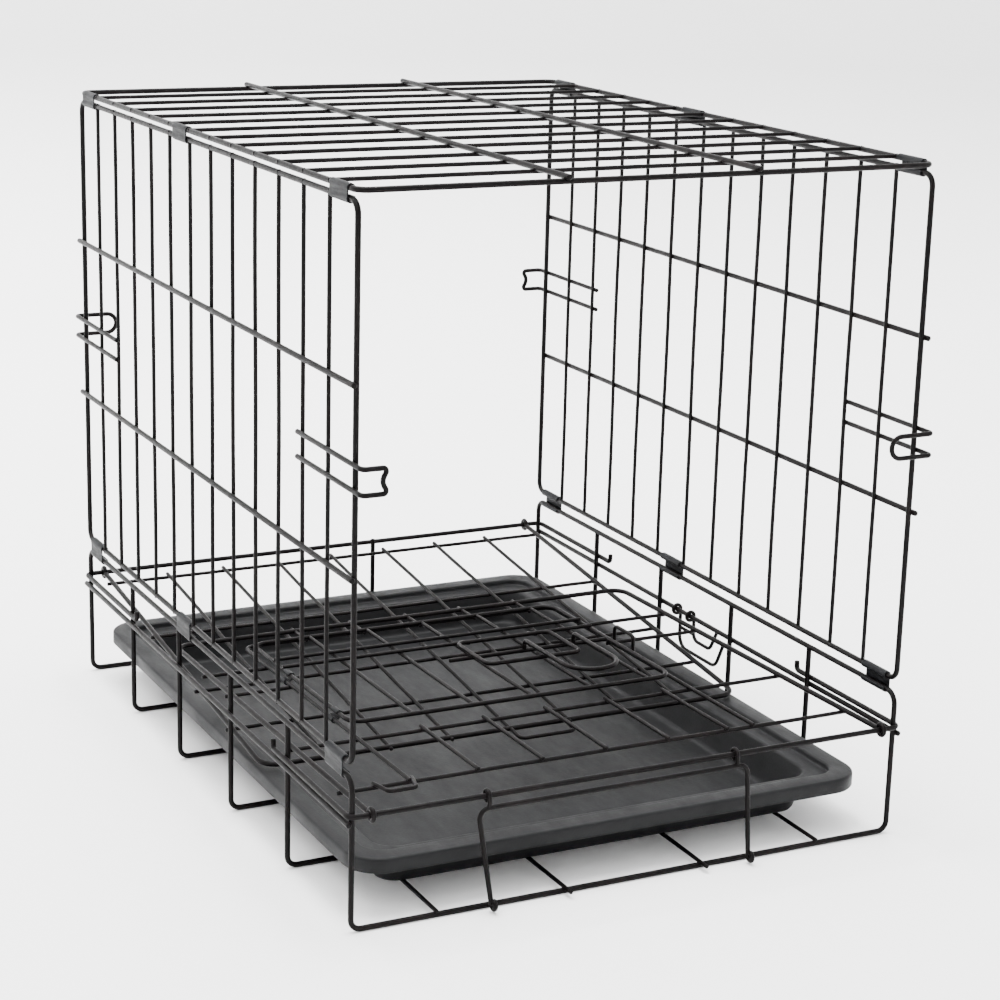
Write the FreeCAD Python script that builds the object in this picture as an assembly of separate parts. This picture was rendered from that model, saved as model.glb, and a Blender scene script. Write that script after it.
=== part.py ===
import FreeCAD, Part
import os
from math import cos, pi, radians, sin, tan

# Folding wire dog crate, in millimetres.
# +X is the crate's right side, +Y its rear and +Z up. The origin is on the floor, under the middle of
# the base. The crate stands erect, with its front and rear panels folded down inside the base.

V = FreeCAD.Vector

# ---- wire and sheet sizes -------------------------------------------------------------------------
FRAME_D = 3.0              # border, rail and base wire
MESH_D = 2.2               # infill wire
CATCH_D = 2.6              # catches, door border and latch wire
WELD = 0.4                 # how far two crossing wires sink into each other at a weld
SHEET = 0.8                # thickness of the clip sheet
RUN = 0.3                  # radial play round a wire that turns
EYE_RUN = 0.4              # radial play inside a bent wire eye
CRIMP = 0.02               # a crimped clip just clears the wire it grips

# ---- crate ----------------------------------------------------------------------------------------
HALF_W = 177.5             # centre plane to the side wires
HALF_L = 233.0             # centre plane to the front and rear wires
BAYS = 13                  # bays along each side and along the roof
PITCH = 2 * HALF_L / BAYS

# ---- base -----------------------------------------------------------------------------------------
FLOOR_Z = FRAME_D / 2
FLOOR_BEND = 6.0
BASE_TOP = 90.0
BASE_BEND = 8.0
CROSS_Y = [-233.0, -139.8, -46.6, 46.6, 139.8, 233.0]
LONG_X = [-126.0, -45.0, 45.0, 126.0]
LONG_INNER = 45.0          # the two inner lengthwise wires stick out past the front floor wire
LONG_NUB = 6.0
MID_Z = 64.5
MID_NUB = 3.0
OUT = FRAME_D - WELD       # from a wire's axis to that of an equal wire welded on its outer side
HINGE_Y = HALF_L + OUT     # hinge rails, outside the end wires
FRONT_Z = 69.0             # front panel's hinge rail
REAR_Z = 71.0              # rear panel's hinge rail
RAIL_BEND = 5.0
RAIL_RETURN = 112.0        # length of a hinge rail's return along the side
RAIL_NUB = 6.0
POST_X = [-54.0, 39.0]     # posts under the rear hinge rail

# ---- sides and roof -------------------------------------------------------------------------------
SIDE_BOTTOM = 98.5
SIDE_TOP = 402.5
SIDE_BEND = 7.0
SIDE_RODS = [203.0, 308.0]
ROD_NUB = 4.0
NUB = 1.6                  # mesh wire past the outside of the border wire
ROOF_Z = 408.0
ROOF_ROD_X = 59.0
ROOF_ROD_NUB = 4.5
CLIP_Y = [-212.0, 32.3, 212.0]
CLIP_LEN = 24.0

# ---- catches on the sides -------------------------------------------------------------------------
CATCH_START = HALF_L - 2 * PITCH - 3.5
CATCH_END = HALF_L + 14.0
EAR_Z = [252.0, 266.0]
EAR_IN = 15.0
EAR_BOW = 4.0
LOOP_Z = [241.0, 254.0]
LOOP_IN = 28.0

# ---- front panel, in its own plane: across X, up from its hinge, out from the crate ------------------
PANEL_X = 167.0
FRONT_LEN = 320.0
FRONT_BEND = 11.0
FRONT_DROOP = 1.0          # degrees that the folded panel's free edge hangs below level
FRONT_LOW = 41.0
FRONT_SILL = 115.0
FRONT_STUBS = [219.0, 260.0]
OPEN_LEFT = -126.6
OPEN_RIGHT = 101.0
OPEN_TOP = 301.0
OPEN_BEND = 8.0
FRONT_LOW_X = [-83.5, -42.0, 0.0, 42.0, 83.0]
FRONT_HIGH_X = [-83.0, -41.0, 0.0, 41.0, 83.0]
FRONT_NUB = 6.0
HOOK_X = [-148.0, -124.0]  # small trapezoid hook under the lowest cross wire
HOOK_DROP = 14.0

# ---- door, in the front panel's plane ---------------------------------------------------------------
DOOR_X = [-123.6, 97.2]
DOOR_V = [130.0, 294.0]
DOOR_BEND = 10.0
DOOR_OUT = 3.5             # door border's axis, outside the panel border's axis
DOOR_WIRES_X = [-83.0, -42.0, -1.5, 39.6, 80.8]
DOOR_WIRES_V = [237.5, 253.0]
DOOR_CLIP_V = [152.0, 229.0]
DOOR_CLIP_LEN = 9.0

# ---- slide bolt, its guide and its keeper -------------------------------------------------------------
BOLT_V = 203.5
BOLT_OUT = DOOR_OUT + CATCH_D + RUN + 0.5
BOLT_X = [-24.0, 91.0]
HANDLE_X = [30.0, 66.0]
HANDLE_OUT = BOLT_OUT + 2 * CATCH_D + 2 * RUN + 1.2
HANDLE_V = 133.0
HANDLE_BEND = 17.5
GUIDE_X = [-9.0, 58.0]
GUIDE_V = [178.0, 224.0]
GUIDE_OUT = BOLT_OUT + CATCH_D + RUN + 0.5
KEEPER_X = 104.0
KEEPER_V = [191.0, 216.0]
KEEPER_OUT = BOLT_OUT + CATCH_D + RUN + 1.0

# ---- rear panel ---------------------------------------------------------------------------------------
REAR_LEN = 311.0
REAR_DROOP = 6.2           # degrees that it slopes down under the front panel
REAR_BARS = 8
REAR_CROSS = [17.0, 111.0, 198.0, 255.0]
REAR_LOOP_X = [-39.0, 0.0]
REAR_LOOP_LEN = 15.0

# ---- tray gate on the front hinge rail ------------------------------------------------------------------
GATE_FOOT_X = [-94.0, 75.0]
GATE_TOP_X = [-104.0, 71.0]
GATE_BAR_Z = 62.8
GATE_BEND = 6.0
GATE_HOOK_X = [-97.0, 64.0]
GATE_HOOK_GAP = 2.4        # mouth of the hook, behind the upright
GATE_FOOT_Z = 4.6
GATE_FOOT_R = 2.4

# ---- carry hook on the right middle rail -----------------------------------------------------------------
CARRY_Y = [27.0, 9.0]
CARRY_LOW = 37.0
CARRY_TIP_Y = -31.0
CARRY_TIP_Z = 57.0

# ---- tray --------------------------------------------------------------------------------------------------
TRAY_X = 169.0
TRAY_Y = [-222.0, 230.0]
TRAY_Z = 5.4
TRAY_TOP = 34.5
TRAY_SKIN = 1.8
TRAY_LIP = 9.0
TRAY_CORNER = 22.0
TRAY_RIM = 13.0            # outer flat of the rim
TRAY_STEP = 4.0            # drop from the rim to the ledge inside it
TRAY_LEDGE = 11.0
TRAY_DRAFT = 6.0           # how far the pan's walls lean in from top to bottom


def rounded_path(points, bends, closed=False):
    """A wire through the points with each corner turned at its bend radius."""
    if not hasattr(bends, "__len__"):
        bends = [bends] * len(points)
    count = len(points)
    starts, ends, arcs = [], [], []
    for i, point in enumerate(points):
        inside = closed or 0 < i < count - 1
        if not inside:
            starts.append(point)
            ends.append(point)
            arcs.append(None)
            continue
        came = (point - points[i - 1]).normalize()
        goes = (points[(i + 1) % count] - point).normalize()
        half = came.getAngle(goes) / 2
        reach = bends[i] * tan(half)
        a = point - came * reach
        b = point + goes * reach
        toward = (goes - came).normalize()
        top = point + toward * (bends[i] / cos(half) - bends[i])
        starts.append(a)
        ends.append(b)
        arcs.append(Part.Arc(a, top, b).toShape())
    edges = []
    for i in range(count):
        if arcs[i]:
            edges.append(arcs[i])
        if i + 1 < count or closed:
            after = starts[(i + 1) % count]
            if ends[i].distanceToPoint(after) > 1e-6:
                edges.append(Part.makeLine(ends[i], after))
    return Part.Wire(Part.__sortEdges__(edges))


def rod(points, diameter, bends=3.0, closed=False):
    """A round wire bent along the points."""
    if len(points) == 2:
        run = points[1] - points[0]
        return Part.makeCylinder(diameter / 2, run.Length, points[0], run)
    path = rounded_path(points, bends, closed)
    edge = path.OrderedEdges[0]
    along = edge.tangentAt(edge.FirstParameter)
    start = edge.valueAt(edge.FirstParameter)
    if edge.Orientation == "Reversed":
        along = edge.tangentAt(edge.LastParameter)
        start = edge.valueAt(edge.LastParameter)
    circle = Part.Wire(Part.makeCircle(diameter / 2, start, along))
    return path.makePipe(Part.Face(circle))


def fused(shapes):
    """One solid from wires that are welded together."""
    whole = shapes[0].multiFuse(shapes[1:])
    return whole.removeSplitter()


def ring(centre, axis, bore, diameter):
    """A closed wire eye round an axis."""
    return Part.makeTorus(bore + diameter / 2, diameter / 2, centre, axis)


def clip(turning, gripped, turning_r, gripped_r, axis, length):
    """A sheet clip: crimped tight on one wire, loose round the other, centred on the two points."""
    shift = axis * (-length / 2)
    loose = turning_r + RUN
    tight = gripped_r + CRIMP
    across = (gripped - turning).normalize()
    side = axis.cross(across)
    reach = (gripped - turning).Length
    tilt = (loose - tight) / reach
    level = (1 - tilt * tilt) ** 0.5
    corners = []
    for centre, radius in ((turning, loose + SHEET), (gripped, tight + SHEET)):
        for sign in (-1, 1):
            corners.append(centre + (across * tilt + side * (sign * level)) * radius)
    flanks = Part.Face(Part.makePolygon([corners[0], corners[1], corners[3], corners[2], corners[0]]))
    flanks.translate(shift)
    body = flanks.extrude(axis * length)
    for centre, radius in ((turning, loose + SHEET), (gripped, tight + SHEET)):
        body = body.fuse(Part.makeCylinder(radius, length, centre + shift, axis))
    for centre, radius in ((turning, loose), (gripped, tight)):
        body = body.cut(Part.makeCylinder(radius, length, centre + shift, axis))
    return body.removeSplitter()


# ---- base ---------------------------------------------------------------------------------------------

def base_wall(side):
    """One side of the base: the end wires bend into the top rail, and four uprights stand between."""
    x = side * HALF_W
    inner = side * (HALF_W - FLOOR_BEND)
    frame = [
        V(inner, -HALF_L, FLOOR_Z),
        V(x, -HALF_L, FLOOR_Z),
        V(x, -HALF_L, BASE_TOP),
        V(x, HALF_L, BASE_TOP),
        V(x, HALF_L, FLOOR_Z),
        V(inner, HALF_L, FLOOR_Z),
    ]
    wires = [rod(frame, FRAME_D, [0, FLOOR_BEND, BASE_BEND, BASE_BEND, FLOOR_BEND, 0])]
    for y in CROSS_Y[1:-1]:
        upright = [V(inner, y, FLOOR_Z), V(x, y, FLOOR_Z), V(x, y, BASE_TOP)]
        wires.append(rod(upright, FRAME_D, FLOOR_BEND))
    return fused(wires)


def base_floor():
    """The floor runs of the six cross wires, with four lengthwise wires welded on top."""
    x = HALF_W - FLOOR_BEND
    wires = [rod([V(-x, y, FLOOR_Z), V(x, y, FLOOR_Z)], FRAME_D) for y in CROSS_Y]
    z = FLOOR_Z + (FRAME_D + MESH_D) / 2 - WELD
    for x in LONG_X:
        nub = LONG_NUB if abs(x) == LONG_INNER else NUB
        wires.append(rod([V(x, -HALF_L - nub, z), V(x, HALF_L + NUB, z)], MESH_D))
    return fused(wires)


def mid_rail(side):
    x = side * (HALF_W + OUT)
    reach = HALF_L + MID_NUB
    return rod([V(x, -reach, MID_Z), V(x, reach, MID_Z)], FRAME_D)


def hinge_rail(end, z):
    """A rail across one end whose returns run along both sides and turn up at their tips."""
    y = end * HINGE_Y
    x = HALF_W + OUT
    back = end * (HINGE_Y - RAIL_RETURN)
    points = [
        V(-x, back, z + RAIL_NUB),
        V(-x, back, z),
        V(-x, y, z),
        V(x, y, z),
        V(x, back, z),
        V(x, back, z + RAIL_NUB),
    ]
    return rod(points, FRAME_D, [0, 3.0, RAIL_BEND, RAIL_BEND, 3.0, 0])


def rear_rail():
    wires = [hinge_rail(1, REAR_Z)]
    for x in POST_X:
        wires.append(rod([V(x, HALF_L, FRAME_D - WELD / 2), V(x, HALF_L, REAR_Z + FRAME_D)], FRAME_D))
    return fused(wires)


def line_clips(side, turning_z, gripped_z):
    """The three clips along one hinge line."""
    x = side * HALF_W
    shapes = []
    for y in CLIP_Y:
        turning = V(x, y, turning_z)
        gripped = V(x, y, gripped_z)
        shapes.append(clip(turning, gripped, FRAME_D / 2, FRAME_D / 2, V(0, 1, 0), CLIP_LEN))
    return Part.makeCompound(shapes)


# ---- sides, roof and catches ------------------------------------------------------------------------------

MESH_OFF = 0.4             # mesh wires sit this far outside the border's plane
ROD_OFF = OUT              # long rods lie on the outer side of both


def side_mesh():
    """The left side: a border, twelve uprights and two long rods on the outside."""
    x = -HALF_W
    border = [
        V(x, -HALF_L, SIDE_BOTTOM),
        V(x, HALF_L, SIDE_BOTTOM),
        V(x, HALF_L, SIDE_TOP),
        V(x, -HALF_L, SIDE_TOP),
    ]
    wires = [rod(border, FRAME_D, SIDE_BEND, closed=True)]
    low = SIDE_BOTTOM - FRAME_D / 2 - NUB / 4
    high = SIDE_TOP + FRAME_D / 2 + NUB / 4
    for i in range(1, BAYS):
        y = -HALF_L + i * PITCH
        wires.append(rod([V(x - MESH_OFF, y, low), V(x - MESH_OFF, y, high)], MESH_D))
    reach = HALF_L + ROD_NUB
    for z in SIDE_RODS:
        wires.append(rod([V(x - ROD_OFF, -reach, z), V(x - ROD_OFF, reach, z)], FRAME_D))
    return fused(wires)


CATCH_X = HALF_W + (FRAME_D + CATCH_D) / 2 - WELD


def ear_catch():
    """A wire loop on the left side's front edge whose tip is pinched back between two ears."""
    x = -CATCH_X
    low, high = EAR_Z
    middle = (low + high) / 2
    points = [
        V(x, -CATCH_START, high),
        V(x, -CATCH_END, high),
        V(x + EAR_IN, -CATCH_END, high),
        V(x + EAR_IN - EAR_BOW, -CATCH_END, middle),
        V(x + EAR_IN, -CATCH_END, low),
        V(x, -CATCH_END, low),
        V(x, -CATCH_START, low),
    ]
    return rod(points, CATCH_D, [0, 3.0, 1.8, 6.0, 1.8, 3.0, 0])


def loop_catch():
    """A wire loop on the left side's rear edge with a long round-ended tip."""
    x = -CATCH_X
    low, high = LOOP_Z
    bend = (high - low) / 2 - 0.01
    points = [
        V(x, CATCH_START, high),
        V(x, CATCH_END, high),
        V(x + LOOP_IN, CATCH_END, high),
        V(x + LOOP_IN, CATCH_END, low),
        V(x, CATCH_END, low),
        V(x, CATCH_START, low),
    ]
    return rod(points, CATCH_D, [0, 3.0, bend, bend, 3.0, 0])


def half_turn(shape):
    """The same part on the other side of the crate."""
    turned = shape.copy()
    turned.rotate(V(0, 0, 0), V(0, 0, 1), 180)
    return turned


def roof_mesh():
    """The roof: a border, twelve cross wires and two long rods on top."""
    border = [
        V(-HALF_W, -HALF_L, ROOF_Z),
        V(HALF_W, -HALF_L, ROOF_Z),
        V(HALF_W, HALF_L, ROOF_Z),
        V(-HALF_W, HALF_L, ROOF_Z),
    ]
    wires = [rod(border, FRAME_D, SIDE_BEND, closed=True)]
    reach = HALF_W + FRAME_D / 2 + NUB / 4
    z = ROOF_Z + MESH_OFF
    for i in range(1, BAYS):
        y = -HALF_L + i * PITCH
        wires.append(rod([V(-reach, y, z), V(reach, y, z)], MESH_D))
    reach = HALF_L + ROOF_ROD_NUB
    z = ROOF_Z + ROD_OFF
    for x in (-ROOF_ROD_X, ROOF_ROD_X):
        wires.append(rod([V(x, -reach, z), V(x, reach, z)], FRAME_D))
    return fused(wires)


# ---- folded panels -------------------------------------------------------------------------------------------
# A panel is drawn lying flat, hinge line on the X axis, free edge towards +Y and outer side up, and is
# then carried to its hinge rail and tilted.

CROSS_OFF = -(MESH_D - WELD)          # cross wires run on the panel's inner side
BORDER_CROSS_OFF = CROSS_OFF - 0.2    # deep enough to weld to the border too
EYE_R = FRAME_D / 2 + EYE_RUN


def panel_frame(length, bend):
    """A panel's border, ending in two eyes round the hinge rail."""
    start = EYE_R + CATCH_D / 2
    border = [
        V(-PANEL_X, start, 0),
        V(-PANEL_X, length, 0),
        V(PANEL_X, length, 0),
        V(PANEL_X, start, 0),
    ]
    wires = [rod(border, FRAME_D, bend)]
    for x in (-PANEL_X, PANEL_X):
        wires.append(ring(V(x, 0, 0), V(1, 0, 0), EYE_R, CATCH_D))
    return wires


def across(x0, x1, v, w, diameter=MESH_D):
    return rod([V(x0, v, w), V(x1, v, w)], diameter)


def up(x, v0, v1, w, diameter=MESH_D):
    return rod([V(x, v0, w), V(x, v1, w)], diameter)


def front_mesh():
    """The front panel's frame, with the wires round its off-centre door opening."""
    wires = panel_frame(FRONT_LEN, FRONT_BEND)
    reach = PANEL_X + FRAME_D / 2 + NUB
    for v in (FRONT_LOW, FRONT_SILL):
        wires.append(across(-reach, reach, v, BORDER_CROSS_OFF))
    for v in FRONT_STUBS:
        wires.append(across(-reach, OPEN_LEFT + NUB, v, BORDER_CROSS_OFF))
        wires.append(across(OPEN_RIGHT - NUB, reach, v, BORDER_CROSS_OFF))
    low = FRONT_LOW - MESH_D / 2 - NUB
    surround = [
        V(OPEN_LEFT, low, 0),
        V(OPEN_LEFT, OPEN_TOP, 0),
        V(OPEN_RIGHT, OPEN_TOP, 0),
        V(OPEN_RIGHT, low, 0),
    ]
    wires.append(rod(surround, MESH_D, OPEN_BEND))
    for x in FRONT_LOW_X:
        wires.append(up(x, low, FRONT_SILL + MESH_D / 2 + NUB, 0))
    for x in FRONT_HIGH_X:
        wires.append(up(x, OPEN_TOP - MESH_D / 2 - NUB, FRONT_LEN + FRONT_NUB, -MESH_OFF))
    return fused(wires)


def panel_hook():
    """A small trapezoid hook below the front panel's lowest cross wire."""
    left, right = HOOK_X
    top = FRONT_LOW + BORDER_CROSS_OFF
    w = 0.2
    points = [
        V(left, FRONT_LOW + NUB, w),
        V(left + HOOK_DROP / 4, FRONT_LOW - HOOK_DROP, w),
        V(right - HOOK_DROP / 4, FRONT_LOW - HOOK_DROP, w),
        V(right, FRONT_LOW + NUB, w),
    ]
    return rod(points, MESH_D, 3.0)


def keeper():
    """The bolt's keeper: a wire staple standing on the two sides of the bolt's path."""
    low, high = KEEPER_V
    x = KEEPER_X
    points = [
        V(x, low, 0),
        V(x, low, KEEPER_OUT),
        V(x, high, KEEPER_OUT),
        V(x, high, 0),
    ]
    return rod(points, MESH_D, 3.5)


def door_mesh():
    """The door: a rounded border with five uprights and two cross wires."""
    (left, right), (low, high) = DOOR_X, DOOR_V
    border = [
        V(left, low, DOOR_OUT),
        V(right, low, DOOR_OUT),
        V(right, high, DOOR_OUT),
        V(left, high, DOOR_OUT),
    ]
    wires = [rod(border, CATCH_D, DOOR_BEND, closed=True)]
    for x in DOOR_WIRES_X:
        wires.append(up(x, low, high, DOOR_OUT - MESH_OFF / 4))
    w = DOOR_OUT + (CATCH_D + MESH_D) / 2 - WELD
    for v in DOOR_WIRES_V:
        wires.append(across(left - NUB / 2, right + NUB / 2, v, w))
    return fused(wires)


def door_clips():
    """Two small clips that hang the door on the left wire of the opening."""
    shapes = []
    for v in DOOR_CLIP_V:
        turning = V(OPEN_LEFT, v, 0)
        gripped = V(DOOR_X[0], v, DOOR_OUT)
        shapes.append(clip(turning, gripped, MESH_D / 2, CATCH_D / 2, V(0, 1, 0), DOOR_CLIP_LEN))
    return Part.makeCompound(shapes)


def bolt_guide():
    """A closed wire loop standing off the door, which holds the bolt against it."""
    (left, right), (low, high) = GUIDE_X, GUIDE_V
    loop = [
        V(left, low, GUIDE_OUT),
        V(right, low, GUIDE_OUT),
        V(right, high, GUIDE_OUT),
        V(left, high, GUIDE_OUT),
    ]
    wires = [rod(loop, CATCH_D, 5.0, closed=True)]
    foot = DOOR_OUT + (CATCH_D + MESH_D) / 2 - WELD
    for x in (left + 9.0, right - 9.0):
        leg = [V(x, high, GUIDE_OUT - 0.6), V(x, DOOR_WIRES_V[0] - 1.2, foot + 0.8)]
        wires.append(rod(leg, CATCH_D))
    return fused(wires)


def slide_bolt():
    """One bent wire: the bolt, with a U-shaped handle standing in front of the guide."""
    (start, tip), (left, right) = BOLT_X, HANDLE_X
    bolt_w, grip_w = BOLT_OUT, HANDLE_OUT
    shank = rod([V(start, BOLT_V, bolt_w), V(tip, BOLT_V, bolt_w)], CATCH_D)
    grip = [
        V(left, BOLT_V, bolt_w),
        V(left, BOLT_V, grip_w),
        V(left, HANDLE_V, grip_w),
        V(right, HANDLE_V, grip_w),
        V(right, BOLT_V, grip_w),
        V(right, BOLT_V, bolt_w),
    ]
    handle = rod(grip, CATCH_D, [0, 3.0, HANDLE_BEND, HANDLE_BEND, 3.0, 0])
    return fused([shank, handle])


def rear_mesh():
    """The rear panel: a plain grid with one small loop on its free edge."""
    wires = panel_frame(REAR_LEN, FRONT_BEND)
    reach = PANEL_X + FRAME_D / 2 + NUB
    for v in REAR_CROSS:
        wires.append(across(-reach, reach, v, BORDER_CROSS_OFF))
    low = REAR_CROSS[0] - MESH_D / 2 - NUB
    for i in range(1, REAR_BARS):
        x = -PANEL_X + i * 2 * PANEL_X / REAR_BARS
        wires.append(up(x, low, REAR_LEN + FRAME_D / 2 + NUB, -MESH_OFF / 2))
    left, right = REAR_LOOP_X
    tongue = [
        V(left, REAR_LEN, 0),
        V(left, REAR_LEN + REAR_LOOP_LEN, 0),
        V(right, REAR_LEN + REAR_LOOP_LEN, 0),
        V(right, REAR_LEN, 0),
    ]
    wires.append(rod(tongue, MESH_D, 4.0))
    return fused(wires)


def on_front(shape):
    """Carry a flat-drawn piece of the front panel to its rail."""
    placed = shape.copy()
    placed.rotate(V(0, 0, 0), V(1, 0, 0), -FRONT_DROOP)
    placed.translate(V(0, -HINGE_Y, FRONT_Z))
    return placed


def on_rear(shape):
    """Carry a flat-drawn rear panel to its rail, turned to reach forwards."""
    placed = shape.copy()
    placed.rotate(V(0, 0, 0), V(1, 0, 0), -REAR_DROOP)
    placed.rotate(V(0, 0, 0), V(0, 0, 1), 180)
    placed.translate(V(0, HINGE_Y, REAR_Z))
    return placed


# ---- small moving wires ----------------------------------------------------------------------------------------

def tray_gate():
    """An upturned U that keeps the tray in, hung by two hooks bent round the front hinge rail."""
    bore = FRAME_D / 2 + EYE_RUN
    turn = bore + MESH_D / 2
    y = -HINGE_Y - turn
    left, right = GATE_FOOT_X
    curl = 2 * GATE_FOOT_R
    low = GATE_FOOT_Z - GATE_FOOT_R
    gate = [
        V(left, y - curl / 2, low + curl),
        V(left, y - curl, low + curl),
        V(left, y - curl, low),
        V(left, y, low),
        V(GATE_TOP_X[0], y, GATE_BAR_Z),
        V(GATE_TOP_X[1], y, GATE_BAR_Z),
        V(right, y, low),
        V(right, y - curl, low),
        V(right, y - curl, low + curl),
        V(right, y - curl / 2, low + curl),
    ]
    foot = GATE_FOOT_R - 0.01
    wires = [rod(gate, CATCH_D, [0, foot, foot, foot, GATE_BEND, GATE_BEND, foot, foot, foot, 0])]
    for x in GATE_HOOK_X:
        hook = [
            V(x, y, GATE_BAR_Z),
            V(x, y, FRONT_Z + turn),
            V(x, y + 2 * turn, FRONT_Z + turn),
            V(x, y + 2 * turn, FRONT_Z - turn),
            V(x, y + GATE_HOOK_GAP, FRONT_Z - turn),
        ]
        wires.append(rod(hook, MESH_D, turn - 0.01))
    return fused(wires)


def carry_hook():
    """A double hook hung by two eyes on the right middle rail."""
    bore = FRAME_D / 2 + EYE_RUN
    rail_x = HALF_W + OUT
    x = rail_x + bore + MESH_D / 2
    first, second = CARRY_Y
    loop = [
        V(x, first, MID_Z),
        V(x, first, CARRY_LOW),
        V(x, CARRY_TIP_Y + 10.0, CARRY_LOW),
        V(x, CARRY_TIP_Y, CARRY_TIP_Z),
    ]
    inner = [
        V(x, second, MID_Z),
        V(x, second, CARRY_LOW + 10.0),
        V(x, CARRY_TIP_Y + 18.0, CARRY_LOW + 10.0),
        V(x, CARRY_TIP_Y + 10.0, CARRY_TIP_Z + 4.0),
    ]
    wires = [rod(loop, MESH_D, [0, 9.0, 9.0, 0]), rod(inner, MESH_D, [0, 6.0, 6.0, 0])]
    wires.append(rod([V(x, second, CARRY_LOW + 14.0), V(x, first, CARRY_LOW + 14.0)], MESH_D))
    for y in CARRY_Y:
        wires.append(ring(V(rail_x, y, MID_Z), V(0, 1, 0), bore, MESH_D))
    return fused(wires)


# ---- tray ---------------------------------------------------------------------------------------------------------

def slab_outline(inset, z, corner):
    """A rounded rectangle inside the tray's outer edge."""
    x = TRAY_X - inset
    front = TRAY_Y[0] + inset
    rear = TRAY_Y[1] - inset
    return rounded_path([V(-x, front, z), V(x, front, z), V(x, rear, z), V(-x, rear, z)], corner, True)


def slab(inset, low, high, corner):
    return Part.Face(slab_outline(inset, low, corner)).extrude(V(0, 0, high - low))


def tray():
    """A moulded tray: lip, flat rim, a ledge one step down, and a pan with leaning walls."""
    ledge_z = TRAY_TOP - TRAY_STEP
    rim_in = TRAY_RIM
    pan_in = TRAY_RIM + TRAY_LEDGE
    shell = slab(0, TRAY_TOP - TRAY_LIP, TRAY_TOP, TRAY_CORNER)
    shell = shell.cut(slab(TRAY_SKIN, TRAY_TOP - TRAY_LIP, TRAY_TOP - TRAY_SKIN, TRAY_CORNER - TRAY_SKIN))
    collar = slab(rim_in - TRAY_SKIN, ledge_z - TRAY_SKIN, TRAY_TOP, TRAY_CORNER - 8.0)
    outer = Part.makeLoft(
        [
            slab_outline(pan_in + TRAY_DRAFT - TRAY_SKIN, TRAY_Z, TRAY_CORNER - 10.0),
            slab_outline(pan_in - TRAY_SKIN, ledge_z, TRAY_CORNER - 6.0),
        ],
        True,
    )
    floor_z = TRAY_Z + TRAY_SKIN
    inner = Part.makeLoft(
        [
            slab_outline(pan_in + TRAY_DRAFT, floor_z, TRAY_CORNER - 11.0),
            slab_outline(pan_in, ledge_z + 0.01, TRAY_CORNER - 7.0),
        ],
        True,
    )
    shell = shell.fuse([collar, outer])
    shell = shell.cut(slab(rim_in, ledge_z, TRAY_TOP + 1.0, TRAY_CORNER - 9.0))
    return shell.cut(inner).removeSplitter()


def save(name, shape):
    shape.exportStep("parts/" + name + ".step")


os.makedirs("parts", exist_ok=True)

save("base_floor", base_floor())
save("base_left_wall", base_wall(-1))
save("base_right_wall", base_wall(1))
save("base_left_rail", mid_rail(-1))
save("base_right_rail", mid_rail(1))
save("front_hinge_rail", hinge_rail(-1, FRONT_Z))
save("rear_hinge_rail", rear_rail())
save("base_left_clips", line_clips(-1, SIDE_BOTTOM, BASE_TOP))
save("base_right_clips", line_clips(1, SIDE_BOTTOM, BASE_TOP))

left_mesh = side_mesh()
left_ear = ear_catch()
left_loop = loop_catch()
save("left_side_mesh", left_mesh)
save("left_front_catch", left_ear)
save("left_rear_catch", left_loop)
save("right_side_mesh", half_turn(left_mesh))
save("right_rear_catch", half_turn(left_ear))
save("right_front_catch", half_turn(left_loop))

save("roof_mesh", roof_mesh())
save("roof_left_clips", line_clips(-1, SIDE_TOP, ROOF_Z))
save("roof_right_clips", line_clips(1, SIDE_TOP, ROOF_Z))

save("front_panel_mesh", on_front(front_mesh()))
save("front_panel_hook", on_front(panel_hook()))
save("bolt_keeper", on_front(keeper()))
save("door_mesh", on_front(door_mesh()))
save("door_clips", on_front(door_clips()))
save("bolt_guide", on_front(bolt_guide()))
save("slide_bolt", on_front(slide_bolt()))
save("rear_panel_mesh", on_rear(rear_mesh()))

save("tray_gate", tray_gate())
save("carry_hook", carry_hook())
save("tray", tray())
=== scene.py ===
import math
import bpy
from mathutils import Matrix, Vector


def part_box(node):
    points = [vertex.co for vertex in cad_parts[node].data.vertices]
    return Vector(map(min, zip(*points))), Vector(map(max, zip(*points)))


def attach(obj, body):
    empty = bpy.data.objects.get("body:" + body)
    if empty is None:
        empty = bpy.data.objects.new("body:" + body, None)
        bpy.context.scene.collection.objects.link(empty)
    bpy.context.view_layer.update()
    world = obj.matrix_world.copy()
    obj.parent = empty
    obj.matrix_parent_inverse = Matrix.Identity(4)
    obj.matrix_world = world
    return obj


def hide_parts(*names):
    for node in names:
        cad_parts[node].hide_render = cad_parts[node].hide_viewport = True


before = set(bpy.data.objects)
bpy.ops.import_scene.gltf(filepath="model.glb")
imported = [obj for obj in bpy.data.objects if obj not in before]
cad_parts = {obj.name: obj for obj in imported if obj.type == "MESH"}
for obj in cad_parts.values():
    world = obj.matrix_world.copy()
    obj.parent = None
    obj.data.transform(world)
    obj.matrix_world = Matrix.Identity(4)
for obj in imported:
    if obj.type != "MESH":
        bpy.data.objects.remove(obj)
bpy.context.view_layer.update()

MM = 0.001
V = Vector
X_AXIS = V((1, 0, 0))
Y_AXIS = V((0, 1, 0))
Z_AXIS = V((0, 0, 1))

# ---------------------------------------------------------------------------------------------------
# Wires and welds, in millimetres
# ---------------------------------------------------------------------------------------------------

COAT = 0.16                # thickness of the baked coating
BARE_R = 1.5               # frame wire under its coating
BARE_CATCH_R = 1.3         # wire of the catches, eyes, door border, bolt and gate
BARE_MESH_R = 1.1          # thin wire of the grilles
FRAME_R = BARE_R + COAT
CATCH_R = BARE_CATCH_R + COAT
MESH_R = BARE_MESH_R + COAT

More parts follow.
